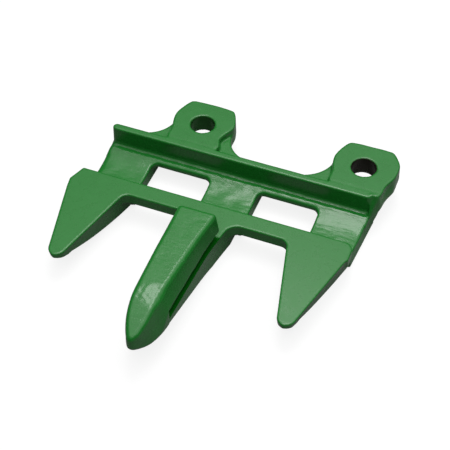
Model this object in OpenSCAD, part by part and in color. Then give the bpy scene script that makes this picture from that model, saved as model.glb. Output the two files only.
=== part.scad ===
// Mower knife guard, one forged piece with three points.
// Origin: midpoint of the two bolt holes on the underside of the ears. +Y is the back, +Z is up. Millimetres.

/* [Bolt ears] */
// Distance between the two bolt holes
hole_pitch = 76.2; // [60:0.1:100]
// Bolt hole diameter
hole_d = 11.4; // [8:0.1:14]
// Thickness of the ears
ear_t = 9; // [6:0.5:13]
// Width of an ear at its widest
ear_w = 29.4; // [24:0.1:34]
// Distance from the hole to the straight back edge of an ear
ear_back = 13.9; // [11:0.1:17]
// Width of the straight back edge, corner to corner
ear_back_w = 22; // [16:0.1:26]
// Width of the raised pad where it meets the rail
ear_neck_w = 23.4; // [19:0.1:28]
// Extra width of the right ear on its outer side
right_widen = 1.8; // [0:0.1:3]
// Height of the raised pad above the flange around its neck
pad_step = 3; // [1:0.1:5]
// Radius of the hollow where the flange flares into the rail
flare_r = 12; // [8:0.5:12]
// Thickness that the flange keeps behind the rail
heel_t = 1.8; // [1:0.1:3]

/* [Rail and arms] */
// Distance from the hole line to the front of the rail
rail_setback = 16.9; // [15:0.1:22]
// Thickness of the rail
rail_t = 3.6; // [2.5:0.1:6]
// Radius of the fillet at the front foot of the rail
rail_fillet = 2; // [1:0.1:3]
// Width of the three arms
arm_w = 22; // [18:0.1:24]
// Sideways offset of an arm from its point
arm_shift = 3.5; // [2:0.1:5]
// Depth of the arms below the ear underside
arm_depth = 10; // [7:0.5:13]
// Draft of the arm sides, degrees
arm_draft = 3; // [1:0.5:8]
// Narrowing of the right arm's outer side between the rail and the bar
arm_taper = 1.4; // [0:0.1:3]
// Drop of the arm tops between the rail and the bar
web_fall = 2.4; // [1:0.1:3]
// Length over which the arm tops drop before they run level
web_run = 13; // [8:0.5:16]
// Width of the strip between rail and windows
shelf_w = 4.8; // [3.5:0.1:7]
// Thickness of that strip
shelf_t = 3.4; // [2.5:0.1:6]
// Length of the two windows, front to back
window_len = 18.2; // [12:0.1:24]
// Corner radius of the windows
window_r = 3; // [1.5:0.1:5]

/* [Ledger bar] */
// Drop from the ear top to the ledger surface
ledger_drop = 5; // [3:0.1:6.5]
// Front to back width of the bar
bar_w = 8.3; // [6:0.1:12]
// Thickness of the bar
bar_t = 5.6; // [4:0.1:8]
// Radius of the inner corners between bar and points
corner_r = 3; // [2:0.1:5]

/* [Points] */
// Pitch of the three points
point_pitch = 50.8; // [45:0.1:60]
// Sideways offset of the centre finger from the middle of the bolt holes
point_shift = -17.6; // [-22:0.1:-14]
// Length of the two stub points in front of the bar
stub_len = 42.8; // [34:0.1:50]
// Width of a stub where it leaves the bar
stub_w = 27; // [24:0.1:30]
// Radius of a stub tip
stub_tip_r = 4; // [3:0.1:5]
// Thickness of a stub at the tip
stub_tip_t = 2.6; // [1.5:0.1:4]
// Depth of the cut at the outer back corner of a stub
stub_chamfer = 3.4; // [2:0.1:5]
// Draft of the finger sides and of the inner stub sides below the ledger edges, degrees
side_draft = 8; // [4:0.5:12]
// Draft of the outer stub sides, degrees
outer_draft = 15; // [6:0.5:18]

/* [Centre finger] */
// Length of the finger in front of the bar
finger_len = 76.6; // [66:0.1:90]
// Width of the finger at its root
finger_w = 20; // [16:0.1:23]
// Narrowing of each ledger edge per millimetre of length
finger_taper = 0.04; // [0.02:0.005:0.06]
// Length of the pointed nose
nose_len = 20.6; // [16:0.1:28]
// Distance from the bar to the back of the hood
hood_gap = 8; // [5:0.1:12]
// Height of the hood top above the ledger surface
hood_h = 13.5; // [10:0.1:16]
// Width of the hood top at its back
hood_top_w = 15.8; // [12:0.1:18]
// Drop of the hood top from its flat to the tip
nose_drop = 5; // [3:0.1:7]
// Height of the knife slot
slot_h = 4.2; // [3:0.1:5.5]
// Length of the knife slot
slot_len = 47.5; // [40:0.1:52]

/* [Hidden] */
$fn = 64;
// A small overlap that joins neighbouring bodies
eps = 0.05;
// Levels
z_pad = ear_t;
z_ledger = ear_t - ledger_drop;
z_web = 0;
z_base = -arm_depth;
z_hood = z_ledger + hood_h;
// Stations from back to front
y_rail_back = -(rail_setback - rail_t);
y_rail = -rail_setback;
y_window = y_rail - shelf_w;
y_bar_back = y_window - window_len;
y_bar = y_bar_back - bar_w;
y_stub_tip = y_bar - stub_len;
y_tip = y_bar - finger_len;
y_hood = y_bar - hood_gap;
y_slot_end = y_hood - slot_len;
y_nose = y_tip + nose_len;
// Sideways places of the points and of the arms
x_points = [point_shift - point_pitch, point_shift, point_shift + point_pitch];
x_left = x_points[0] + arm_shift - arm_w / 2;
x_right = x_points[2] + arm_shift + arm_w / 2;
x_rail_start = x_left + 0.7;
x_rail_end = x_right - 1.4;
paint = [0.20, 0.48, 0.22];

// Part way from a to b
function mix(a, b, t) = a + (b - a) * t;

// A corner b between a and c, rounded over the fractions f and g of its two sides
function bend(a, b, c, f, g, n = 4) =
    [for (i = [0:n])
        let (t = i / n, p = mix(b, a, f), q = mix(b, c, g))
        (1 - t) * (1 - t) * p + 2 * t * (1 - t) * b + t * t * q];

// A left-right symmetric section, given its right half from the bottom to the top
function both_sides(half) =
    concat(half, [for (i = [len(half) - 1:-1:0]) [-half[i].x, half[i].y]]);

// A solid through sections [x, z] that stand at the stations ys, given from front to back
module loft(ys, sections) {
    n = len(sections[0]);
    m = len(ys);
    points = [for (i = [0:m - 1], p = sections[i]) [p.x, ys[i], p.y]];
    sides = [for (i = [0:m - 2], j = [0:n - 1], k = [0, 1])
        let (a = i * n + j, b = i * n + (j + 1) % n, c = a + n, d = b + n)
        k == 0 ? [a, b, d] : [a, d, c]];
    front = [[for (j = [n - 1:-1:0]) j]];
    back = [[for (j = [0:n - 1]) (m - 1) * n + j]];
    polyhedron(points, concat(sides, front, back));
}

// Half width of a stub point at the station y: straight taper that ends in a round tip
stub_slope = (stub_w / 2 - stub_tip_r) / (stub_len - stub_tip_r);
function stub_half(y) =
    let (straight = stub_w / 2 - stub_slope * (y_bar - y), into = y - y_stub_tip)
    y > y_bar ? stub_w / 2 - (stub_chamfer + 0.5) * (y - y_bar) / bar_w - eps
        : into >= stub_tip_r ? straight
        : min(straight, sqrt(max(0.01, stub_tip_r * stub_tip_r - pow(stub_tip_r - into, 2))));

// Underside of a stub: a curve from the arm depth up to the thin tip
function stub_floor(y) =
    let (t = max(0, y_bar_back - y) / (y_bar_back - y_stub_tip))
    mix(z_base, z_ledger - stub_tip_t, pow(t, 2.2));

// Right half of a stub section from the bottom to the ledger edge
function stub_side(y, draft) =
    let (w = stub_half(y), zb = stub_floor(y), k = max(w * 0.45, w - (z_ledger - zb) * tan(draft)))
    concat(bend([0, zb], [k, zb], [w, z_ledger], 0.22, 0.22), [[w, z_ledger]]);

// The outer side is on the right for side = 1 and on the left for side = -1
function stub_section(y, side) =
    let (right = stub_side(y, side > 0 ? outer_draft : side_draft),
         left = stub_side(y, side > 0 ? side_draft : outer_draft))
    concat(right, [for (i = [len(left) - 1:-1:0]) [-left[i].x, left[i].y]]);

// Half width of the centre finger at its ledger edges: slow taper, then the pointed nose
function finger_half(y) =
    let (body = finger_w / 2 - finger_taper * max(0, y_bar - y), u = min(1, (y_nose - y) / nose_len),
         at_nose = finger_w / 2 - finger_taper * (y_bar - y_nose))
    y > y_nose ? body : at_nose * pow(max(0.0004, 1 - u * u), 0.7);

// Half width of the hood top, which narrows from its back to the nose
function top_half(y) =
    let (s = (y_hood - y) / (y_hood - y_tip))
    min(hood_top_w / 2 * (1 - 0.77 * s), finger_half(y) * 0.82);

// Height of the hood top: flat, then falling along the nose
function finger_top(y) =
    let (v = max(0, y_nose + nose_len * 0.37 - y) / (nose_len * 1.37))
    z_hood - nose_drop * pow(v, 1.6);

// Underside of the finger: a curve from the arm depth up to the nose
function finger_floor(y) =
    let (t = max(0, y_bar - y) / finger_len, u = max(0, y_tip + 0.4 * nose_len - y) / (0.4 * nose_len))
    mix(z_base, z_ledger, pow(t, 1.6)) + 0.4 * slot_h * u * u;

function finger_section(y) =
    let (w = finger_half(y), wt = top_half(y), zb = finger_floor(y), zt = finger_top(y),
         zm = max(min(z_ledger, mix(zb, zt, 0.4)), mix(zb, zt, 0.25)), k = max(w * 0.5, w - (zm - zb) * tan(side_draft)),
         zs = max(zm + 0.2, min(z_ledger + slot_h, mix(zb, zt, 0.6))))
    let (shoulder = mix(wt, w, y > y_nose ? 0.9 : 0.9 - 0.4 * (y_nose - y) / nose_len))
    both_sides(concat(
        bend([0, zb], [k, zb], [w, zm], 0.3, 0.3),
        [[w, zm], [w, zs]],
        bend([w, zs], [shoulder, zt], [0, zt], 0.75, 1 - wt / shoulder, 6)));

// Right half of the raised pad in plan, from the back to the front, for its half widths at head and neck
function pad_half(head, neck, front) =
    concat(
        bend([0, ear_back], [ear_back_w / 2, ear_back], [head, 3], 0.3, 0.3),
        bend([ear_back_w / 2, ear_back], [head, 3], [neck, y_rail_back], 0.4, 0.4),
        bend([head, 3], [neck, front], [0, front], 0.2, 0.3),
        [[0, front]]);

// One ear: raised pad with a straight back, and the flange that flares into the rail
module ear(x, widen) {
    left = pad_half(ear_w / 2, ear_neck_w / 2, y_rail + eps);
    right = pad_half(ear_w / 2 + widen / 2, ear_neck_w / 2, widen > 0 ? y_rail_back : y_rail + eps);
    translate([x, 0, 0])
        linear_extrude(z_pad)
            polygon(concat(right, [for (i = [len(left) - 1:-1:0]) [-left[i].x, left[i].y]]));
}

// Hollow flare of the flange on one side of an ear
module flare(x, side) {
    reach = ear_w / 2 + flare_r;
    translate([x, y_rail_back])
        difference() {
            translate([side < 0 ? -reach : 0, 0])
                square([reach, heel_t + flare_r]);
            translate([side * reach, heel_t + flare_r])
                circle(r = flare_r);
        }
}

// Flange around the ear necks and the heel strip behind the rail
module flange() {
    x_ear = hole_pitch / 2;
    linear_extrude(z_pad - pad_step) {
        flare(-x_ear, -1);
        flare(-x_ear, 1);
        flare(x_ear, -1);
        translate([-x_ear - ear_w / 2 - flare_r, y_rail])
            square([x_rail_end + x_ear + ear_w / 2 + flare_r, heel_t + rail_t]);
    }
}

// Right end: the ear side runs forward and down into the outside of the right arm
module right_flank() {
    x_ear = hole_pitch / 2;
    intersection() {
        linear_extrude(z_pad)
            polygon([
                [x_rail_end - rail_t, 0],
                [x_ear + ear_w / 2 - 0.4, 0],
                [x_ear + ear_neck_w / 2, 0.8 * y_rail_back],
                [x_right, y_rail],
                [x_right, y_window],
                [x_rail_end - eps, y_window],
                [x_rail_end - eps, y_rail + rail_t / 2],
                [x_rail_end - rail_t, y_rail + rail_t / 2]]);
        rotate([90, 0, 90])
            linear_extrude(2 * hole_pitch)
                polygon([
                    [0, 0],
                    [0, z_pad - pad_step],
                    [y_rail_back, z_pad - pad_step],
                    [y_rail, z_pad - 2 * pad_step],
                    [y_window, z_web - 0.5]]);
    }
}

// The upright rail across the front of the ears, with the fillet at its foot
module rail() {
    translate([0, 0, z_web - shelf_t])
        linear_extrude(z_pad - z_web + shelf_t)
            round_strip(x_rail_start, x_rail_end, y_rail, rail_t);
    rotate([90, 0, 90])
        translate([0, 0, x_rail_start + rail_t / 2])
            linear_extrude(x_rail_end - x_rail_start - rail_t)
                difference() {
                    translate([y_rail - rail_fillet, z_web - eps])
                        square([rail_fillet + eps, rail_fillet + eps]);
                    translate([y_rail - rail_fillet, z_web + rail_fillet])
                        circle(r = rail_fillet);
                }
}

// A bar in plan from x0 to x1 with half round ends
module round_strip(x0, x1, y0, t) {
    translate([x0 + t / 2, y0])
        square([x1 - x0 - t, t]);
    for (x = [x0 + t / 2, x1 - t / 2])
        translate([x, y0 + t / 2])
            circle(d = t);
}

// Side view of the arms: the top drops in a hollow curve, then runs level; the underside rises under the bar
module web_profile(z_low, z_front) {
    y_drop = y_rail - rail_fillet;
    polygon(concat(
        [[y_rail_back - eps, z_low],
         [y_rail_back - eps, z_web]],
        [for (i = [0:8])
            let (t = i / 8)
            [y_drop - web_run * t, z_web - web_fall * t * (2 - t)]],
        [[y_bar + eps, z_web - web_fall],
         [y_bar + eps, z_front],
         [y_bar_back, z_low]]));
}

// Section across an arm; the taper narrows its right side
function arm_section(taper) =
    let (foot = arm_w / 2 - arm_depth * tan(arm_draft))
    [[foot - taper, z_base], [arm_w / 2 - taper, z_web + eps], [-arm_w / 2, z_web + eps], [-foot, z_base]];

// One arm: drafted sides, falling top, flat underside
module arm(x, taper) {
    intersection() {
        rotate([90, 0, 90])
            translate([0, 0, x - arm_w])
                linear_extrude(2 * arm_w)
                    web_profile(z_base, mix(z_base, z_ledger - bar_t, 0.5));
        translate([x, 0, 0])
            loft([y_bar, y_rail_back], [arm_section(taper), arm_section(0)]);
    }
}

// The strip between the rail and the windows
module shelf() {
    intersection() {
        rotate([90, 0, 90])
            translate([0, 0, x_left])
                linear_extrude(x_right - x_left)
                    web_profile(z_web - shelf_t, z_web - shelf_t);
        translate([x_left, y_window, z_base])
            cube([x_right - x_left, y_rail_back - y_window, arm_depth + 1]);
    }
}

// The rounded back corners of the two windows
module window_corners() {
    for (i = [0, 1]) {
        x0 = x_points[i] + arm_shift + arm_w / 2;
        x1 = x_points[i + 1] + arm_shift - arm_w / 2;
        translate([0, y_window, z_web - shelf_t])
            linear_extrude(shelf_t - web_fall * 0.7)
                difference() {
                    translate([x0 - eps, -window_r])
                        square([x1 - x0 + 2 * eps, window_r + eps]);
                    translate([x0 + window_r, -window_r])
                        circle(r = window_r);
                    translate([x1 - window_r, -window_r])
                        circle(r = window_r);
                    translate([x0 + window_r, -2 * window_r])
                        square([x1 - x0 - 2 * window_r, 2 * window_r]);
                }
    }
}

// The ledger bar with the cut outer corners of the stubs and the round inner corners
module bar() {
    edge = stub_w / 2;
    translate([0, 0, z_ledger - bar_t])
        linear_extrude(bar_t) {
            polygon(concat(
                [[x_points[0] - edge, y_bar],
                 [x_points[0] - edge + 0.15, y_bar + 0.12 * bar_w],
                 [x_points[0] - edge + stub_chamfer, y_bar_back]],
                bend([x_points[1], y_bar_back], [x_points[2] + edge - 0.6, y_bar_back],
                    [x_points[2] + edge, y_bar], 0.085, 0.7, 6),
                [[x_points[2] + edge, y_bar]]));
            for (side = [-1, 1]) {
                inner_corner(x_points[1] + side * finger_w / 2, side, corner_r);
                inner_corner(x_points[1] + side * (point_pitch - edge), -side, corner_r);
            }
        }
}

// Fillet in plan between the bar front and the side of a point at x, opening to the given side
module inner_corner(x, side, r) {
    difference() {
        translate([x + (side - 1) * r / 2 - side * eps, y_bar - r])
            square([r, r + eps]);
        translate([x + side * (r - eps), y_bar - r])
            circle(r = r);
    }
}

// Hollow web under the bar, where the arm is wider than the keel of the finger
module root_gusset() {
    reach = arm_shift + arm_w / 2 - finger_w / 2;
    translate([0, 0, mix(z_base, z_ledger - bar_t, 0.5)])
        linear_extrude(0.5 * (z_ledger - bar_t - z_base) + eps)
            difference() {
                translate([point_shift, y_bar - 2.2 * reach])
                    square([finger_w / 2 + reach, 2.2 * reach + eps]);
                translate([point_shift + finger_w / 2 + 2.2 * reach, y_bar - 2.6 * reach])
                    circle(r = 2.5 * reach);
            }
}

// One stub point: flat ledger top, drafted sides, curved underside
module stub(x, side) {
    straight = [for (i = [0:12]) mix(y_stub_tip + stub_tip_r, y_bar_back - 2, i / 12)];
    tip = [for (i = [0:7]) y_stub_tip + stub_tip_r * (1 - cos(i * 90 / 8))];
    ys = concat(tip, straight);
    translate([x, 0, 0])
        loft(ys, [for (y = ys) stub_section(y, side)]);
}

// The centre finger: keel, ledger edges, hood and nose in one body, then the knife slot
module finger() {
    nose = [for (i = [0:13]) y_tip + nose_len * (1 - cos(i * 90 / 14))];
    body = [for (i = [0:10]) mix(y_nose, y_bar_back - 2, i / 10)];
    ys = concat(nose, body);
    translate([point_shift, 0, 0])
        difference() {
            loft(ys, [for (y = ys) finger_section(y)]);
            translate([-finger_w, y_hood, z_ledger])
                cube([2 * finger_w, y_bar_back - y_hood + 1, 2 * hood_h]);
            translate([-finger_w, y_slot_end, z_ledger])
                cube([2 * finger_w, slot_len + 1, slot_h]);
        }
}

module bolt_holes() {
    for (side = [-1, 1])
        translate([side * hole_pitch / 2, 0, -1])
            cylinder(d = hole_d, h = ear_t + 2);
}

module knife_guard() {
    color(paint)
        difference() {
            union() {
                ear(-hole_pitch / 2, 0);
                ear(hole_pitch / 2, right_widen);
                flange();
                right_flank();
                rail();
                shelf();
                for (i = [0:2])
                    arm(x_points[i] + arm_shift, i == 2 ? arm_taper : 0);
                window_corners();
                bar();
                root_gusset();
                stub(x_points[0], -1);
                stub(x_points[2], 1);
                finger();
            }
            bolt_holes();
        }
}

knife_guard();
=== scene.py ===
import bpy
import numpy as np
from mathutils import Matrix, Vector


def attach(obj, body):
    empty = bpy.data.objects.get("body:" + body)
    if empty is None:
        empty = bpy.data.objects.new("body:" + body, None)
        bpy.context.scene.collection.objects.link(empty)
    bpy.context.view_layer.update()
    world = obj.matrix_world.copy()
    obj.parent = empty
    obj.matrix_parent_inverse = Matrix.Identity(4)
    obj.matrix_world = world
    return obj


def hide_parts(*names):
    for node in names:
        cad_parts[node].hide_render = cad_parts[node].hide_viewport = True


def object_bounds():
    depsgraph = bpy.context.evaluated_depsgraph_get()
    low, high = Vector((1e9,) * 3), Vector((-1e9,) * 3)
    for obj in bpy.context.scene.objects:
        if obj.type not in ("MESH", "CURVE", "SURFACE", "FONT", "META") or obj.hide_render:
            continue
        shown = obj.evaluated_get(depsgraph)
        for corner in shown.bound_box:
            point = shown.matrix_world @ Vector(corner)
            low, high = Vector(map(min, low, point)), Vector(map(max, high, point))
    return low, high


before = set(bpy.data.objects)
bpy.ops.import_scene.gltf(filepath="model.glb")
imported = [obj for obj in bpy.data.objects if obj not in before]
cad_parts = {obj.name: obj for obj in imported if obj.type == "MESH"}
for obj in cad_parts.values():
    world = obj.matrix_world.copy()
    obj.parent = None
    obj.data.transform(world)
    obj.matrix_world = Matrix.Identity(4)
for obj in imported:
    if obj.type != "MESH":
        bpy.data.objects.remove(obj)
cad_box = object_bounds()


# BOLT EARS
# Two ears bolt the guard under the cutter bar. Each is a raised pad round its hole, with a straight back
# edge, on a lower flange that flares into the rail; ears, rail and flank are forged in one with the rest.
# Every form below is a field in millimetres: a distance from its skin, negative inside the steel.

hole_x = 38.1
hole_radius = 5.55
pad_top = 9.0
pad_edge = 0.7
flange_top = 6.0
flange_edge = 0.8
flange_reach = 1.5
flange_ends = (-72.5, 44.0)
neck_half = 14.0
left_hollow = 13.5
right_hollow = 15.5
heel_back = -11.5
rail_front = -16.9
rail_back = -13.3
rail_middle = 0.5 * (rail_front + rail_back)
rail_ends = (-75.6, 46.3)
rail_foot = -3.4
rail_hollow = 1.2
seat_end = 45.0
ear_draft = 0.03
crease_depth = 0.04
crease_behind = 0.5
crease_width = 0.55


def hollow_join(a, b, r):
    """Two forms joined with a hollow fillet of radius r.

    Where both skins are nearer than r, the shortfalls r - a and r - b are the legs of a right triangle, and
    the field is r less its long side. Elsewhere it is the smaller of the two fields.
    """
    return np.maximum(np.minimum(a, b), r) - np.hypot(np.maximum(r - a, 0), np.maximum(r - b, 0))


def rounded_cut(a, b, r):
    """What two forms have in common, with a round edge of radius r.

    Where both skins are nearer than r, the depths past that, r + a and r + b, are the legs of a right
    triangle, and the field is its long side less r. Elsewhere it is the larger of the two fields.
    """
    return np.minimum(np.maximum(a, b), -r) + np.hypot(np.maximum(r + a, 0), np.maximum(r + b, 0))


def rounded_outline(corners, share, steps):
    """A closed outline with its corners rounded.

    Each corner becomes a parabola that leaves one side at the given share of that side from the corner and
    meets the next side at the same share of it: start (1-t)^2 + corner 2t(1-t) + end t^2.
    """
    corners = np.asarray(corners, float)
    t = np.linspace(0, 1, steps)[None, :, None]
    corner = corners[:, None]
    start = corner + share * (np.roll(corners, 1, axis=0)[:, None] - corner)
    end = corner + share * (np.roll(corners, -1, axis=0)[:, None] - corner)
    return ((1 - t) ** 2 * start + 2 * t * (1 - t) * corner + t**2 * end).reshape(-1, 2)


def outline_distance(x, y, outline):
    """Distance in plan from a closed outline, negative inside.

    For each side it is the length from the point to its foot on that side, held between the two ends, and
    the shortest counts. A point is inside if a ray towards +X crosses an odd number of sides. More than 6 mm
    outside the outline's box, the distance from the box stands in for it.
    """
    reach = 6
    tiny = 1e-9
    x, y = np.broadcast_arrays(x, y)
    low, high = outline.min(axis=0), outline.max(axis=0)
    past_x = np.maximum(np.maximum(low[0] - x, x - high[0]), 0)
    past_y = np.maximum(np.maximum(low[1] - y, y - high[1]), 0)
    distance = np.hypot(past_x, past_y)
    near = distance < reach
    px, py = x[near], y[near]
    nearest = np.full(px.shape, np.inf)
    inside = np.zeros(px.shape, bool)
    for (ax, ay), (bx, by) in zip(outline, np.roll(outline, -1, axis=0)):
        dx, dy = bx - ax, by - ay
        length = dx * dx + dy * dy
        if length < tiny:
            continue
        t = np.clip(((px - ax) * dx + (py - ay) * dy) / length, 0, 1)
        nearest = np.minimum(nearest, (px - ax - t * dx) ** 2 + (py - ay - t * dy) ** 2)
        if abs(dy) > tiny:
            inside ^= ((ay > py) != (by > py)) & (px < ax + (py - ay) * dx / dy)
    distance[near] = np.where(inside, -1, 1) * np.sqrt(nearest)
    return distance


left_side = [
    [-9.5, rail_middle], [-9.5, -13.6], [-11.5, -13.4], [-12.6, -11.0], [-12.4, -8.6], [-12.6, -5.4],
    [-13.9, -1.4], [-14.5, 3.4], [-12.9, 8.4], [-11.2, 12.2], [-9.4, 13.9],
]
right_side = [
    [9.4, 13.9], [11.2, 12.2], [12.9, 8.4], [14.3, 3.4], [13.5, 0.6], [11.6, -3.2],
    [10.6, -6.4], [11.7, -8.6], [12.3, -10.8], [11.6, -13.2], [9.5, -13.6], [9.5, rail_middle],
]
outer_side = [
    [7.0, 13.9], [9.8, 13.9], [12.5, 10.6], [14.7, 7.0], [15.0, 3.0], [14.4, -2.2], [12.6, -6.0],
    [11.9, -9.0], [12.0, -12.2], [11.2, -14.4], [9.0, -14.8], [6.5, -14.6], [6.5, rail_middle],
]
corner_share = 0.49
corner_steps = 5
left_pad = rounded_outline(left_side + right_side, corner_share, corner_steps) + np.array([-hole_x, 0])
right_pad = rounded_outline(left_side + outer_side, corner_share, corner_steps) + np.array([hole_x, 0])


def ears_and_rail(x, y, z):
    """The pads, the flange round them and the upright rail, as one block.

    In plan the pads and the rail, a strip with half round ends, are joined first and cut off at the pad
    height, so that their tops are one plane, with a shallow crease where the die met the rail's back: a bell
    curve across it. The flange in plan is the neck strips and the heel strip, joined with a wider hollow at
    the right ear than at the left. The block's underside is the ear seat at z = 0, and the rail's foot goes
    below it.
    """
    pads = np.minimum(outline_distance(x, y, left_pad), outline_distance(x, y, right_pad))
    half = 0.5 * (rail_ends[1] - rail_ends[0])
    radius = 0.5 * (rail_back - rail_front)
    past = np.maximum(np.abs(x - 0.5 * (rail_ends[0] + rail_ends[1])) - (half - radius), 0)
    rail = np.hypot(past, y - rail_middle) - radius
    crease = crease_depth * np.exp(-(((y - rail_back - crease_behind) / crease_width) ** 2))
    raised = hollow_join(pads, rail, rail_hollow) - ear_draft * (pad_top - z)
    raised = rounded_cut(raised, z - pad_top + crease, pad_edge)

    necks = np.abs(np.abs(x) - hole_x) - neck_half
    heel = np.broadcast_to(y - heel_back, np.broadcast(x, y).shape)
    flange = hollow_join(necks, heel, np.where(x > 0, right_hollow, left_hollow))
    flange = np.maximum(flange, np.maximum(y - flange_reach, rail_middle - y))
    flange = np.maximum(flange, np.maximum(flange_ends[0] - x, x - flange_ends[1]))
    flange = rounded_cut(flange - ear_draft * (flange_top - z), z - flange_top, flange_edge)

    seat = np.maximum(np.minimum(-z, np.maximum(y - heel_back, x - seat_end)), rail_foot - z)
    return rounded_cut(hollow_join(raised, flange, flange_edge), seat, pad_edge)


base = -10.0
flank_x = 47.3
flank_front = -24
flank_swing = 2.6
swing_from, swing_run = -21.0, 8.0
ear_from, ear_swing = -12.8, 0.215
lean_below, lean_above = 0.08, 0.05
ramp_foot, ramp_climb = -1.5, 10.1
ramp_from, ramp_run = -21.8, 8.2
ramp_drop = 5.0
drop_from, drop_run = -15.2, 3.0
foot_from, foot_run = -20, 9.5
inner_x, inner_reach = 46.4, 6.4
inner_from, inner_run = -19.5, 2.5
flank_edge = 0.8
flank_foot_edge = 1.0


def ease(t):
    """A smooth step from 0 to 1: three times the square less twice the cube of t, held between its ends."""
    t = np.clip(t, 0, 1)
    return t * t * (3 - 2 * t)


def right_flank(x, y, z):
    """The sweep at the right end, from the ear's side down into the outside of the right arm.

    Its outer wall swings out beside the rail's end by a smooth step and then evenly along the ear, and leans
    in a little above and below the seat. Its top is a ramp that climbs past the rail's end to just under the
    pad and drops again inside the pad, and its underside climbs from the base to the ear seat, all by smooth
    steps. Inwards it ends at the rail's end, and below the web it reaches in under the rail. The factors 0.9,
    0.6 and 0.7 bring the slanting fields near to true distances.
    """
    swing = flank_swing * ease((y - swing_from) / swing_run) + ear_swing * np.maximum(y - ear_from, 0)
    wall = 0.9 * (x - flank_x - swing - lean_below * np.minimum(z, 0) + lean_above * np.maximum(z, 0))
    climb = ramp_climb * ease((y - ramp_from) / ramp_run)
    top = 0.6 * (z - ramp_foot - climb + ramp_drop * ease((y - drop_from) / drop_run))
    foot = 0.7 * (base * (1 - ease((y - foot_from) / foot_run)) - z)
    body = rounded_cut(rounded_cut(wall, top, flank_edge), foot, flank_foot_edge)
    inner = inner_x - inner_reach * ease((1 - z) / 2) * ease((y - inner_from) / inner_run) - x
    return np.maximum(body, np.maximum(np.maximum(inner, y - flange_reach), flank_front - y))


# ARMS AND SHELF
# Three arms run forward from the rail to the ledger bar, with two windows between them that shed chaff.
# They are left as forged, drafted towards the underside, and their tops dip in a hollow curve from the rail.

arm_middles = (-64.9, -14.1, 36.7)
arm_half = 11.3
arm_lean = 0.02
arm_edge = 1.2
arm_roll = 2.4
outer_x = 47.3
outer_draw, outer_run = 2.2, 34.9
outer_lean = 0.09
web_from, web_run = -20, 13
web_fall = 2.4
web_edge = 0.9
window_back = -21.7
window_corner = 3.0
shelf_ends = (-74, 45.6)
shelf_edge = 1.0
bar_back = -39.9
bar_front = -48.2
bar_lap = 1.6


def web_top(y):
    """Height of the arm tops: level at the rail's foot, down by a parabola, s (2 - s), and level again."""
    s = np.clip((web_from - y) / web_run, 0, 1)
    return -web_fall * s * (2 - s)


def arms_and_shelf(x, y, z):
    """The three arms and the strip that joins them along the rail.

    Each arm is the space between two side planes that lean in 1 degree towards the underside. The right
    arm's outer side leans out 5 degrees instead and draws in evenly towards the bar, and the left arm's outer
    top edge is rolled on a quarter circle. The shelf, no deeper than the rail's foot, is joined to them with
    the windows' corners, and the web's top curve is cut last.
    """
    lean = -arm_lean * z
    top = web_top(y)
    rolled = arm_roll - np.sqrt(arm_roll**2 - np.clip(z - top + arm_roll, 0, arm_roll - 0.05) ** 2)
    outer = outer_x - outer_draw * np.clip((rail_back - y) / outer_run, 0, 1) - outer_lean * z
    arms = np.inf
    for middle in arm_middles:
        left = middle - arm_half - x + lean + (rolled if middle == arm_middles[0] else 0)
        right = x - outer if middle == arm_middles[2] else x - middle - arm_half + lean
        arms = np.minimum(arms, np.maximum(left, right))
    arms = rounded_cut(arms, base - z, arm_edge)
    shelf = np.maximum(window_back - y, np.maximum(shelf_ends[0] - x, x - shelf_ends[1]))
    shelf = rounded_cut(shelf, rail_foot - z, shelf_edge)
    web = hollow_join(arms, shelf, window_corner)
    web = np.maximum(web, np.maximum(y - rail_back, bar_back - bar_lap - y))
    return rounded_cut(web, z - top, web_edge)


# CENTRE FINGER
# The long middle point parts the crop. Its upper half is a hood that stands clear of the ledger by the knife
# slot, so the knife runs through under it; the nose is bow shaped, and the keel rises to meet it.

finger_x = -17.6
finger_half = 10
finger_taper = 0.04
finger_edge = 2.6
ledger = 4.0
hood_back = -56.2
hood_top = 17.5
hood_edge = 1.6
slot_top = 8.2
slot_end = -103.7
nose_start = -104.2
nose_arc = 34.8
tip = -124.8
right_draft, left_draft = 0.03, 0.1
root_flare, flare_run = 2.2, 26
shoulder_back = -58.6
right_shoulder, right_narrowing = 8.3, 0.087
left_shoulder, left_narrowing = 7.6, 0.012
nose_lean_drop, nose_lean_run = 6.0, 8
top_bend, bend_run = -100.5, 8
top_fall, top_fall_run = 0.27, 26
dressed_tilt, dressed_left = 0.13, 1.8
dressed_middle, dressed_half = -104.6, 4.4
ripple_depth = 0.07
keel_from, keel_slope = 14.0, 0.233
keel_top, keel_slow = -0.3, 0.12
keel_edge = 1.2
bow_run, bow_lift = 8.2, 2.3


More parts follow.
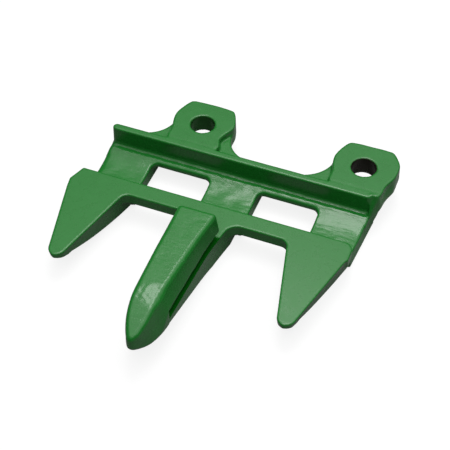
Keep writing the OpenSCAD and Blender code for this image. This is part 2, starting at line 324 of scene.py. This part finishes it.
def finger_body(x, y, z):
    """The finger with no slot: two sides, a top and a keel.

    In plan the half width narrows evenly, then follows an arc to the tip. Below the ledger the sides lean in
    a little, and the right one flares out by a square law in the last stretch before the bar. Above the slot
    they lean in to two shoulders, which narrow towards the nose. The top is level, bends down by a parabola
    and falls on straight, with a flat on the right where the die was dressed: it tips to the right, is
    rippled by two crossed sines and fades by a fourth-power bell curve. The keel rises straight to just under
    the ear seat, slowly from there, and by a square law under the bow of the nose.
    """
    run = np.maximum(bar_front - y, 0)
    into_nose = np.clip(nose_start - y, 0, nose_arc - 0.5)
    nose_half = finger_half - finger_taper * (bar_front - nose_start)
    across_arc = np.sqrt(nose_arc**2 - into_nose**2)
    half = np.where(y > nose_start, finger_half - finger_taper * run, across_arc - (nose_arc - nose_half))
    steep = np.where(y > nose_start, finger_taper, into_nose / across_arc)
    depth = np.maximum(ledger - z, 0)
    flare = root_flare * np.clip(1 - run / flare_run, 0, 1) ** 2

    limit = 0.8 * np.maximum(half, 0) + 0.4
    past_shoulder = shoulder_back - y
    lean_from = slot_top - nose_lean_drop * ease((slot_end - y) / nose_lean_run)
    rise = np.maximum(z - lean_from, 0) / (hood_top - lean_from)
    right_top = np.minimum(right_shoulder - right_narrowing * past_shoulder, limit)
    left_top = np.minimum(left_shoulder - left_narrowing * past_shoulder, limit - 0.015 * into_nose)
    right_lean = np.maximum(half - right_top, 0) * rise
    left_lean = np.maximum(half - left_top, 0) * rise
    scale = 1 / np.sqrt(1 + steep**2 + 0.02)
    right = (x - finger_x - half + right_draft * depth - flare + right_lean) * scale
    left = (finger_x - x - half + left_draft * depth - 0.005 * into_nose + left_lean) * scale
    body = rounded_cut(left, right, finger_edge)

    ahead = np.clip(top_bend - y, 0, top_fall_run)
    fall = np.where(ahead < bend_run, ahead**2 / (2 * bend_run), ahead - bend_run / 2)
    ripple = ripple_depth * np.sin(1.9 * x + 0.9 * y) * np.sin(1.1 * y - 0.6 * x)
    tipped = dressed_tilt * np.maximum(x - finger_x + dressed_left, 0) + ripple
    dressed = tipped * np.exp(-(((y - dressed_middle) / dressed_half) ** 4))
    top = hood_top - top_fall * fall - dressed
    body = rounded_cut(body, (z - top) * 0.97, hood_edge)

    bow = np.clip((tip + bow_run - y) / bow_run, 0, 1.2)
    keel = np.maximum(base + keel_slope * (run - keel_from), base)
    keel = np.minimum(keel, keel_top + keel_slow * (nose_start - y)) + bow_lift * bow**2
    body = rounded_cut(body, (keel - z) * 0.96, keel_edge + keel_edge * np.clip(bow, 0, 1))
    return np.maximum(body, y - bar_back)


# LEDGER BAR AND STUB POINTS
# The flat bar in front of the windows carries the knife's ledger face, which runs on over the two short
# outer points. The face is milled; the bar and the points below it are left as forged.

left_point = -68.7
right_point = 33.2
stub_tip = -91.0
stub_half = 13.5
stub_taper = 0.2448
stub_edge = 1.2
stub_tip_round = 3.6
stub_rise, stub_curve = 11.4, 2.2
stub_floor_edge = 2.0
left_stub_leans = (0.268, 0.12)
right_stub_leans = (0.12, 0.21)
left_stub_closing = 1.03
bar_corner = 3.0
bar_floor = -1.6
bar_edge = 0.8
left_root_hollow, right_root_hollow = 3.0, 4.5
chamfer_way = (-0.942, 0.336)
chamfer_reach = 13.3
chamfer_edge = 2.5
end_reach = 9.2
end_corner = 4.5
ledger_edge = 0.6
hood_back_edge = 1.8
slot_edge = 0.5


def stub_sides(x, y, z, middle, leans, left_closing):
    """One short point seen from above: two sides that close evenly to a round tip.

    Below the ledger face the left and the right side lean in by the two given amounts per mm of depth. The
    left side closes by the given multiple of the taper.
    """
    narrowing = stub_taper * np.maximum(bar_front - y, -5.0)
    depth = np.maximum(ledger - z, 0)
    right = 0.971 * (x - middle - stub_half + narrowing) + 0.95 * leans[1] * depth
    left = 0.971 * (middle - x - stub_half + left_closing * narrowing) + 0.95 * leans[0] * depth
    sides = np.maximum(rounded_cut(left, right, stub_edge), y - bar_back)
    return rounded_cut(sides, stub_tip - y, stub_tip_round)


def stub_floor(y):
    """Height of a stub's underside: up from the base by a power of 2.2 of the way to the tip."""
    way = np.clip((bar_back - y) / (bar_back - stub_tip), 0, 1.1)
    return base + stub_rise * way**stub_curve


def ledger_and_points(x, y, z):
    """The bar, the stubs and the finger, with one flat ledger face.

    The bar is joined to the stubs with hollows in plan and cut at its underside; the stubs go on down to
    their own floor. It is joined to the finger with a wider hollow on the right than on the left. Then its
    ends are cut, a straight chamfer on the left and a round corner on the right, and everything is cut at the
    ledger, with a sharper edge under the hood. The hood above the slot and the nose ahead of it are added
    after that from the finger's own field.
    """
    finger = finger_body(x, y, z)
    left_stub = stub_sides(x, y, z, left_point, left_stub_leans, left_stub_closing)
    right_stub = stub_sides(x, y, z, right_point, right_stub_leans, 1.0)
    under = 0.93 * (stub_floor(y) - z)
    bar = np.maximum(y - bar_back, bar_front - y)
    plan = hollow_join(hollow_join(bar, left_stub, bar_corner), right_stub, bar_corner)
    upper = rounded_cut(plan, np.maximum(bar_floor - z, under), bar_edge)
    joined = np.minimum(upper, rounded_cut(np.minimum(left_stub, right_stub), under, stub_floor_edge))
    joined = hollow_join(joined, finger, np.where(x > finger_x, right_root_hollow, left_root_hollow))

    left_end = chamfer_way[0] * (x - left_point + chamfer_reach) + chamfer_way[1] * (y - bar_front)
    joined = rounded_cut(joined, left_end, chamfer_edge)
    past_x, past_y = x - right_point - end_reach, y - bar_back + end_corner
    at_corner = (past_x > 0) & (past_y > 0)
    right_end = np.where(at_corner, np.hypot(past_x, past_y), np.maximum(past_x, past_y)) - end_corner
    joined = np.maximum(joined, right_end)

    under_hood = (np.abs(x - finger_x) < 14) * ease((hood_back + 1 - y) / 6)
    low = rounded_cut(joined + 0.1 * under_hood, z - ledger, ledger_edge - 0.48 * under_hood)
    hood = rounded_cut(rounded_cut(finger, y - hood_back, hood_back_edge), slot_top - z, slot_edge)
    nose = rounded_cut(finger, y - slot_end, slot_edge)
    return np.minimum(np.minimum(low, hood), nose)


# THE FORGING
# The guard is one drop forging in steel. Its forms run into each other with fillets, two bolt holes go
# through the ears, and the skin carries the shallow waves of the die except where it was milled. It is
# painted all over in green enamel, worn off to bare metal in the right bolt hole. The left bolt hole and
# the knife slot under the hood are painted darker as shade.

web_fillet = 1.0
flank_fillet = 0.3
rail_fillet = 1.6
hole_edge = 0.25


def guard_field(x, y, z):
    """All the forms joined with fillets, arms to ledger first and ears last, and the bolt holes cut out."""
    body = hollow_join(ledger_and_points(x, y, z), arms_and_shelf(x, y, z), web_fillet)
    body = hollow_join(body, right_flank(x, y, z), flank_fillet)
    body = hollow_join(body, ears_and_rail(x, y, z), rail_fillet)
    bolt_hole = hole_radius - np.hypot(np.abs(x) - hole_x, y)
    return rounded_cut(body, bolt_hole, hole_edge)


def skin_net(field, low, step):
    """The zero level of a field on a grid, as points and four-sided faces.

    Each cell that the level crosses gets one point, the mean of the crossings on its twelve edges, where a
    crossing divides an edge in the ratio of the two end values. Each grid edge that the level crosses gets
    the face through the points of the four cells round it, turned so that it looks towards the positive side.
    """
    solid = field < 0
    cells = tuple(n - 1 for n in field.shape)
    total = np.zeros(cells + (3,))
    count = np.zeros(cells)
    for axis in range(3):
        others = [a for a in range(3) if a != axis]
        for i in (0, 1):
            for j in (0, 1):
                pick = [slice(0, n) for n in cells]
                pick[others[0]] = slice(i, cells[others[0]] + i)
                pick[others[1]] = slice(j, cells[others[1]] + j)
                ahead = list(pick)
                ahead[axis] = slice(1, cells[axis] + 1)
                a, b = field[tuple(pick)], field[tuple(ahead)]
                crossed = (a < 0) != (b < 0)
                share = np.where(crossed, a / np.where(crossed, a - b, 1), 0)
                total[..., axis] += share
                total[..., others[0]] += crossed * i
                total[..., others[1]] += crossed * j
                count += crossed
    used = count > 0
    number = np.full(cells, -1)
    number[used] = np.arange(used.sum())
    points = low + step * (np.argwhere(used) + total[used] / count[used][:, None])
    faces = []
    for axis in range(3):
        u, v = [(1, 2), (2, 0), (0, 1)][axis]
        inner = [slice(1, n) for n in cells]
        inner[axis] = slice(0, cells[axis])
        ahead = list(inner)
        ahead[axis] = slice(1, cells[axis] + 1)
        a, b = solid[tuple(inner)], solid[tuple(ahead)]
        for crossed, order in ((a & ~b, (0, 1, 2, 3)), (b & ~a, (3, 2, 1, 0))):
            at = np.argwhere(crossed)
            at[:, u] += 1
            at[:, v] += 1
            ring = []
            for du, dv in ((-1, -1), (0, -1), (0, 0), (-1, 0)):
                cell = at.copy()
                cell[:, u] += du
                cell[:, v] += dv
                ring.append(number[tuple(cell.T)])
            faces.append(np.stack([ring[k] for k in order], axis=1))
    return points, np.concatenate(faces)


def field_slope(points):
    """The field at each point and its slope, from differences over 0.02 mm to either side along each axis."""
    x, y, z = points.T
    d = 0.02
    along_x = guard_field(x + d, y, z) - guard_field(x - d, y, z)
    along_y = guard_field(x, y + d, z) - guard_field(x, y - d, z)
    along_z = guard_field(x, y, z + d) - guard_field(x, y, z - d)
    return guard_field(x, y, z), np.stack([along_x, along_y, along_z], axis=1) / (2 * d)


def settle(points, faces, rounds):
    """The net's points evened out and laid on the skin.

    In each round a point moves halfway to the mean of its neighbours along the faces' sides, and then twice
    back to the skin along the slope by field / slope squared, by no more than 0.4 of the slope.
    """
    sides = np.concatenate([faces[:, [0, 1]], faces[:, [1, 2]], faces[:, [2, 3]], faces[:, [3, 0]]])
    here, there = sides.T
    share = np.bincount(here, minlength=len(points))
    for _ in range(rounds):
        sums = [np.bincount(here, points[there, k], len(points)) for k in range(3)]
        points = points + 0.5 * (np.stack(sums, axis=1) / share[:, None] - points)
        for _ in range(2):
            value, slope = field_slope(points)
            size = np.maximum((slope**2).sum(axis=1), 0.2)
            points = points - np.clip(value / size, -0.4, 0.4)[:, None] * slope
    return points


def die_waves(points, wave, seed):
    """Shallow irregular waves with a spread of about one.

    They are the sum of 40 plane waves of about one wavelength, with directions, lengths and phases drawn from
    a fixed seed, over the square root of half their number.
    """
    number = 40
    draw = np.random.default_rng(seed)
    way = draw.normal(size=(number, 3))
    way /= np.linalg.norm(way, axis=1)[:, None]
    way *= 2 * np.pi / (wave * draw.uniform(0.7, 1.5, number))[:, None]
    phase = draw.uniform(0, 2 * np.pi, number)
    return np.cos(points @ way.T + phase).sum(axis=1) / np.sqrt(number / 2)


net_step = 0.5
net_low = np.array([-84.0, -127.0, -12.0])
net_high = np.array([55.5, 16.5, 20.0])
settle_rounds = 3
counts = np.ceil((net_high - net_low) / net_step).astype(int) + 1
axes = [net_low[k] + net_step * np.arange(counts[k]) for k in range(3)]
grid = guard_field(axes[0][:, None, None], axes[1][None, :, None], axes[2][None, None, :])
points, faces = skin_net(grid, net_low, net_step)
points = settle(points, faces, settle_rounds)

web_roughness = 1.0
hood_roughness = 0.6
side_roughness = 0.25
slope = field_slope(points)[1]
outward = slope / np.linalg.norm(slope, axis=1)[:, None]
x, y, z = points.T
milled = (outward[:, 2] > 0.9) & ((np.abs(z - pad_top) < 0.5) | (np.abs(z - ledger) < 0.5))
on_web = (y < rail_front) & (y > bar_back) & (z < 0.5)
as_forged = np.where(on_web, web_roughness, np.where(z > slot_top, hood_roughness, side_roughness))
as_forged = np.where(milled, 0.0, np.where(outward[:, 2] > 0.6, as_forged, side_roughness))

long_wave, long_depth = 8.0, 0.03
short_wave, short_depth = 2.6, 0.016
across_die = np.array([0.5, 1, 1])
deepest = 0.15
rough = long_depth * die_waves(points, long_wave, 3)
rough = rough + short_depth * die_waves(points * across_die, short_wave, 7)
points = points + (as_forged * np.clip(rough, -deepest, deepest))[:, None] * outward
box_margin = 0.01
points = np.clip(points, np.array(cad_box[0]) * 1000 + box_margin, np.array(cad_box[1]) * 1000 - box_margin)

# The right bolt hole is worn to bare metal. The left one keeps its enamel and takes 0.4 of the bare-metal
# colour as painted shade.
left_hole_shade = 0.4
x, y, z = points.T
bore_wear_and_shade = np.hypot(np.abs(x) - hole_x, y) < hole_radius + 0.12
bore_wear_and_shade = bore_wear_and_shade * np.where(x < 0, left_hole_shade, 1.0)
# Painted shade: the knife slot under the hood, down to just below the ledger, is marked to be coloured dark
# as the hood's shadow.
painted_slot_shade = (y < hood_back - 0.6) & (y > slot_end - 0.3) & (np.abs(x - finger_x) < 10.5)
painted_slot_shade = painted_slot_shade & (z > ledger - 0.5) & (z < slot_top + 0.2)

most_triangles = 190000
mesh = bpy.data.meshes.new("guard_forging")
mesh.from_pydata((points * 0.001).tolist(), [], faces.tolist())
mesh.polygons.foreach_set("use_smooth", np.ones(len(faces), bool))
for name, values in (("as_forged", as_forged), ("bore_wear_and_shade", bore_wear_and_shade), ("painted_slot_shade", painted_slot_shade.astype(float))):
    mesh.attributes.new(name, "FLOAT", "POINT").data.foreach_set("value", values)
mesh.update()
guard = bpy.data.objects.new("guard_forging", mesh)
bpy.context.scene.collection.objects.link(guard)
thinned = guard.modifiers.new("thinned_flats", "DECIMATE")
thinned.ratio = min(1.0, most_triangles / (2 * len(faces)))

enamel_dark = (0.0115, 0.178, 0.021, 1)
enamel_light = (0.0130, 0.192, 0.024, 1)
speck_colour = (0.30, 0.50, 0.34, 1)
# The slot colour is painted shade under the hood.
slot_shade_colour = (0.003, 0.10, 0.005, 1)
# The bore colour is bare metal in the right hole and painted shade in the left.
bore_colour = (0.026, 0.025, 0.016, 1)


def noise(tree, vector, size, detail):
    """A cloudy pattern of the given fineness, per metre, read at the given coordinates."""
    pattern = tree.nodes.new("ShaderNodeTexNoise")
    pattern.inputs["Scale"].default_value = size
    pattern.inputs["Detail"].default_value = detail
    tree.links.new(vector, pattern.inputs["Vector"])
    return pattern


def two_colours(tree, value, low, low_colour, high, high_colour):
    """A straight blend from one colour at a low value to another at a high one."""
    ramp = tree.nodes.new("ShaderNodeValToRGB")
    ramp.color_ramp.elements[0].position = low
    ramp.color_ramp.elements[0].color = low_colour
    ramp.color_ramp.elements[1].position = high
    ramp.color_ramp.elements[1].color = high_colour
    tree.links.new(value, ramp.inputs["Fac"])
    return ramp.outputs["Color"]


def laid_over(tree, under, share, colour):
    """A colour laid over another: under times (1 - share), plus the colour times the share."""
    mix = tree.nodes.new("ShaderNodeMix")
    mix.data_type = "RGBA"
    tree.links.new(share, mix.inputs["Factor"])
    tree.links.new(under, mix.inputs["A"])
    mix.inputs["B"].default_value = colour
    return mix.outputs["Result"]


def skin_mark(tree, name):
    """The value of one of the mesh's own point attributes."""
    mark = tree.nodes.new("ShaderNodeAttribute")
    mark.attribute_name = name
    return mark.outputs["Fac"]


enamel = bpy.data.materials.new("green_enamel_on_forging")
enamel.use_nodes = True
tree = enamel.node_tree
paint = tree.nodes["Principled BSDF"]
place = tree.nodes.new("ShaderNodeTexCoord").outputs["Object"]
cloud = noise(tree, place, 260, 6)
grain = noise(tree, place, 1500, 2)
slot_shade_share = skin_mark(tree, "painted_slot_shade")
forged_share = skin_mark(tree, "as_forged")

tint = two_colours(tree, cloud.outputs["Fac"], 0.25, enamel_dark, 0.75, enamel_light)
specks = two_colours(tree, grain.outputs["Fac"], 0.72, (0, 0, 0, 1), 0.80, (0.5, 0.5, 0.5, 1))
# Light specks laid at random over the whole paint.
light_specked = laid_over(tree, tint, specks, speck_colour)
# Painted shade: the knife slot under the hood is laid over in dark green.
slot_shaded = laid_over(tree, light_specked, slot_shade_share, slot_shade_colour)
# Bare metal in the right bolt hole; painted shade at 0.4 of it in the left bolt hole.
coat = laid_over(tree, slot_shaded, skin_mark(tree, "bore_wear_and_shade"), bore_colour)
tree.links.new(coat, paint.inputs["Base Color"])

# Painted shade: the knife slot reflects half as much, so it shows no sheen.
slot_shade_dull = tree.nodes.new("ShaderNodeMath")
slot_shade_dull.operation = "MULTIPLY_ADD"
tree.links.new(slot_shade_share, slot_shade_dull.inputs[0])
slot_shade_dull.inputs[1].default_value = -0.5
slot_shade_dull.inputs[2].default_value = 0.5
tree.links.new(slot_shade_dull.outputs["Value"], paint.inputs["Specular IOR Level"])

gloss = tree.nodes.new("ShaderNodeMapRange")
gloss.inputs["From Min"].default_value = 0.3
gloss.inputs["From Max"].default_value = 0.7
gloss.inputs["To Min"].default_value = 0.25
gloss.inputs["To Max"].default_value = 0.32
tree.links.new(cloud.outputs["Fac"], gloss.inputs["Value"])
pooled = tree.nodes.new("ShaderNodeMath")
pooled.operation = "MULTIPLY_ADD"
tree.links.new(forged_share, pooled.inputs[0])
pooled.inputs[1].default_value = -0.1
tree.links.new(gloss.outputs["Result"], pooled.inputs[2])
tree.links.new(pooled.outputs["Value"], paint.inputs["Roughness"])

drawn_out = tree.nodes.new("ShaderNodeMapping")
drawn_out.inputs["Scale"].default_value = (0.5, 1.3, 1.0)
tree.links.new(place, drawn_out.inputs["Vector"])
hammer = noise(tree, drawn_out.outputs["Vector"], 520, 4)
hammer.inputs["Roughness"].default_value = 0.6
depth = tree.nodes.new("ShaderNodeMath")
depth.operation = "MULTIPLY"
tree.links.new(hammer.outputs["Fac"], depth.inputs[0])
tree.links.new(forged_share, depth.inputs[1])
scale_marks = tree.nodes.new("ShaderNodeBump")
scale_marks.inputs["Strength"].default_value = 0.22
scale_marks.inputs["Distance"].default_value = 0.0006
tree.links.new(depth.outputs["Value"], scale_marks.inputs["Height"])
peel = tree.nodes.new("ShaderNodeBump")
peel.inputs["Strength"].default_value = 0.06
peel.inputs["Distance"].default_value = 0.0002
tree.links.new(grain.outputs["Fac"], peel.inputs["Height"])
tree.links.new(scale_marks.outputs["Normal"], peel.inputs["Normal"])
tree.links.new(peel.outputs["Normal"], paint.inputs["Normal"])

mesh.materials.append(enamel)
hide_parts("knife_guard")
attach(guard, "root")


# STUDIO
# A pale floor under the guard, which is white to the camera like the backdrop. A soft lamp hangs overhead,
# with a weak fill in front, a small softbox behind and a dim room that is lighter towards its ceiling.
# The camera stands to the right of the guard's front and looks down on it.

floor_half = 4
floor_height = -0.0101
glossy_share = 0.045


def white_share(tree):
    """How white a backdrop looks, and whether it is seen in a reflection.

    It is 1 to the camera and through glass, the glossy share in reflections, and otherwise 0.
    """
    ray = tree.nodes.new("ShaderNodeLightPath")
    seen = tree.nodes.new("ShaderNodeMath")
    seen.operation = "MAXIMUM"
    tree.links.new(ray.outputs["Is Camera Ray"], seen.inputs[0])
    tree.links.new(ray.outputs["Is Transmission Ray"], seen.inputs[1])
    either = tree.nodes.new("ShaderNodeMath")
    either.operation = "MULTIPLY_ADD"
    tree.links.new(ray.outputs["Is Glossy Ray"], either.inputs[0])
    either.inputs[1].default_value = glossy_share
    tree.links.new(seen.outputs["Value"], either.inputs[2])
    return either.outputs["Value"], ray.outputs["Is Glossy Ray"]


ways = [(-1, -1), (1, -1), (1, 1), (-1, 1)]
floor_corners = [(floor_half * u, floor_half * v, floor_height) for u, v in ways]
floor_mesh = bpy.data.meshes.new("studio_floor")
floor_mesh.from_pydata(floor_corners, [], [(0, 1, 2, 3)])
floor = bpy.data.objects.new("studio_floor", floor_mesh)
bpy.context.scene.collection.objects.link(floor)
pale = bpy.data.materials.new("pale_floor")
pale.use_nodes = True
tree = pale.node_tree
ground = tree.nodes["Principled BSDF"]
ground.inputs["Roughness"].default_value = 0.9
ground.inputs["Specular IOR Level"].default_value = 0.0
ground.inputs["Emission Color"].default_value = (0.84, 0.84, 0.84, 1)
white, in_reflection = white_share(tree)
tree.links.new(white, ground.inputs["Emission Strength"])
shade = tree.nodes.new("ShaderNodeMapRange")
shade.inputs["To Min"].default_value = 0.2
shade.inputs["To Max"].default_value = 0.22
tree.links.new(in_reflection, shade.inputs["Value"])
tree.links.new(shade.outputs["Result"], ground.inputs["Base Color"])
floor_mesh.materials.append(pale)


def softbox(name, width, energy, place, aim):
    """A round soft lamp at a place, turned so that it shines along the line to its aim."""
    lamp_data = bpy.data.lights.new(name, "AREA")
    lamp_data.shape = "DISK"
    lamp_data.size = width
    lamp_data.energy = energy
    lamp = bpy.data.objects.new(name, lamp_data)
    lamp.location = place
    lamp.rotation_euler = (Vector(place) - Vector(aim)).to_track_quat("Z", "Y").to_euler()
    bpy.context.scene.collection.objects.link(lamp)
    return lamp


guard_middle = (-0.015, -0.05, 0.0)
right_bay = (0.03, -0.08, 0.0)
softbox("overhead_softbox", 0.36, 1.7, (-0.05, 0.15, 0.76), guard_middle)
fill = softbox("front_fill", 0.5, 0.9, (0.05, -0.5, 0.7), guard_middle)
fill.visible_glossy = False
softbox("back_softbox", 0.14, 0.22, (-0.127, 0.36, 0.69), right_bay)

ceiling_way = (0.12, 0.20, 0.972)
room_strength = 1.78
wall_grey = 0.008
ceiling_greys = ((0.76, 0.40), (0.84, 0.78))
world = bpy.data.worlds.new("dim_room")
world.use_nodes = True
tree = world.node_tree
room = tree.nodes["Background"]
room.inputs["Strength"].default_value = room_strength
heading = tree.nodes.new("ShaderNodeTexCoord")
facing = tree.nodes.new("ShaderNodeVectorMath")
facing.operation = "DOT_PRODUCT"
facing.inputs[1].default_value = ceiling_way
tree.links.new(heading.outputs["Generated"], facing.inputs[0])
walls = tree.nodes.new("ShaderNodeValToRGB")
walls.color_ramp.elements[0].position = 0.6
walls.color_ramp.elements[0].color = (wall_grey, wall_grey, wall_grey, 1)
walls.color_ramp.elements[1].position = 1.0
walls.color_ramp.elements[1].color = (1.0, 1.0, 1.0, 1)
for position, grey in ceiling_greys:
    walls.color_ramp.elements.new(position).color = (grey, grey, grey, 1)
tree.links.new(facing.outputs["Value"], walls.inputs["Fac"])
tree.links.new(walls.outputs["Color"], room.inputs["Color"])
backdrop = tree.nodes.new("ShaderNodeBackground")
backdrop.inputs["Color"].default_value = (1, 1, 1, 1)
choice = tree.nodes.new("ShaderNodeMixShader")
tree.links.new(white_share(tree)[0], choice.inputs["Fac"])
tree.links.new(room.outputs["Background"], choice.inputs[1])
tree.links.new(backdrop.outputs["Background"], choice.inputs[2])
tree.links.new(choice.outputs["Shader"], tree.nodes["World Output"].inputs["Surface"])
bpy.context.scene.world = world
bpy.context.scene.view_settings.view_transform = "Standard"

camera_place = (0.1209, -0.3695, 0.3842)
photo_width = 450
focal_pixels = 1209.55
sensor_width = 36
azimuth, elevation, roll = np.radians([21.876, 47.774, -0.449])
back = np.cos(elevation) * np.array([np.sin(azimuth), -np.cos(azimuth), np.tan(elevation)])
right = np.array([np.cos(azimuth), np.sin(azimuth), 0])
up = np.cross(back, right)
turned_right = np.cos(roll) * right + np.sin(roll) * up
turned_up = np.cos(roll) * up - np.sin(roll) * right
turn = Matrix(np.stack([turned_right, turned_up, back], axis=1).tolist())
camera_data = bpy.data.cameras.new("photo_camera")
camera_data.sensor_width = sensor_width
camera_data.lens = focal_pixels / photo_width * sensor_width
camera_data.shift_x = -0.0006
camera_data.shift_y = -0.0008
camera = bpy.data.objects.new("photo_camera", camera_data)
camera.matrix_world = Matrix.LocRotScale(camera_place, turn, None)
bpy.context.scene.collection.objects.link(camera)
bpy.context.scene.camera = camera
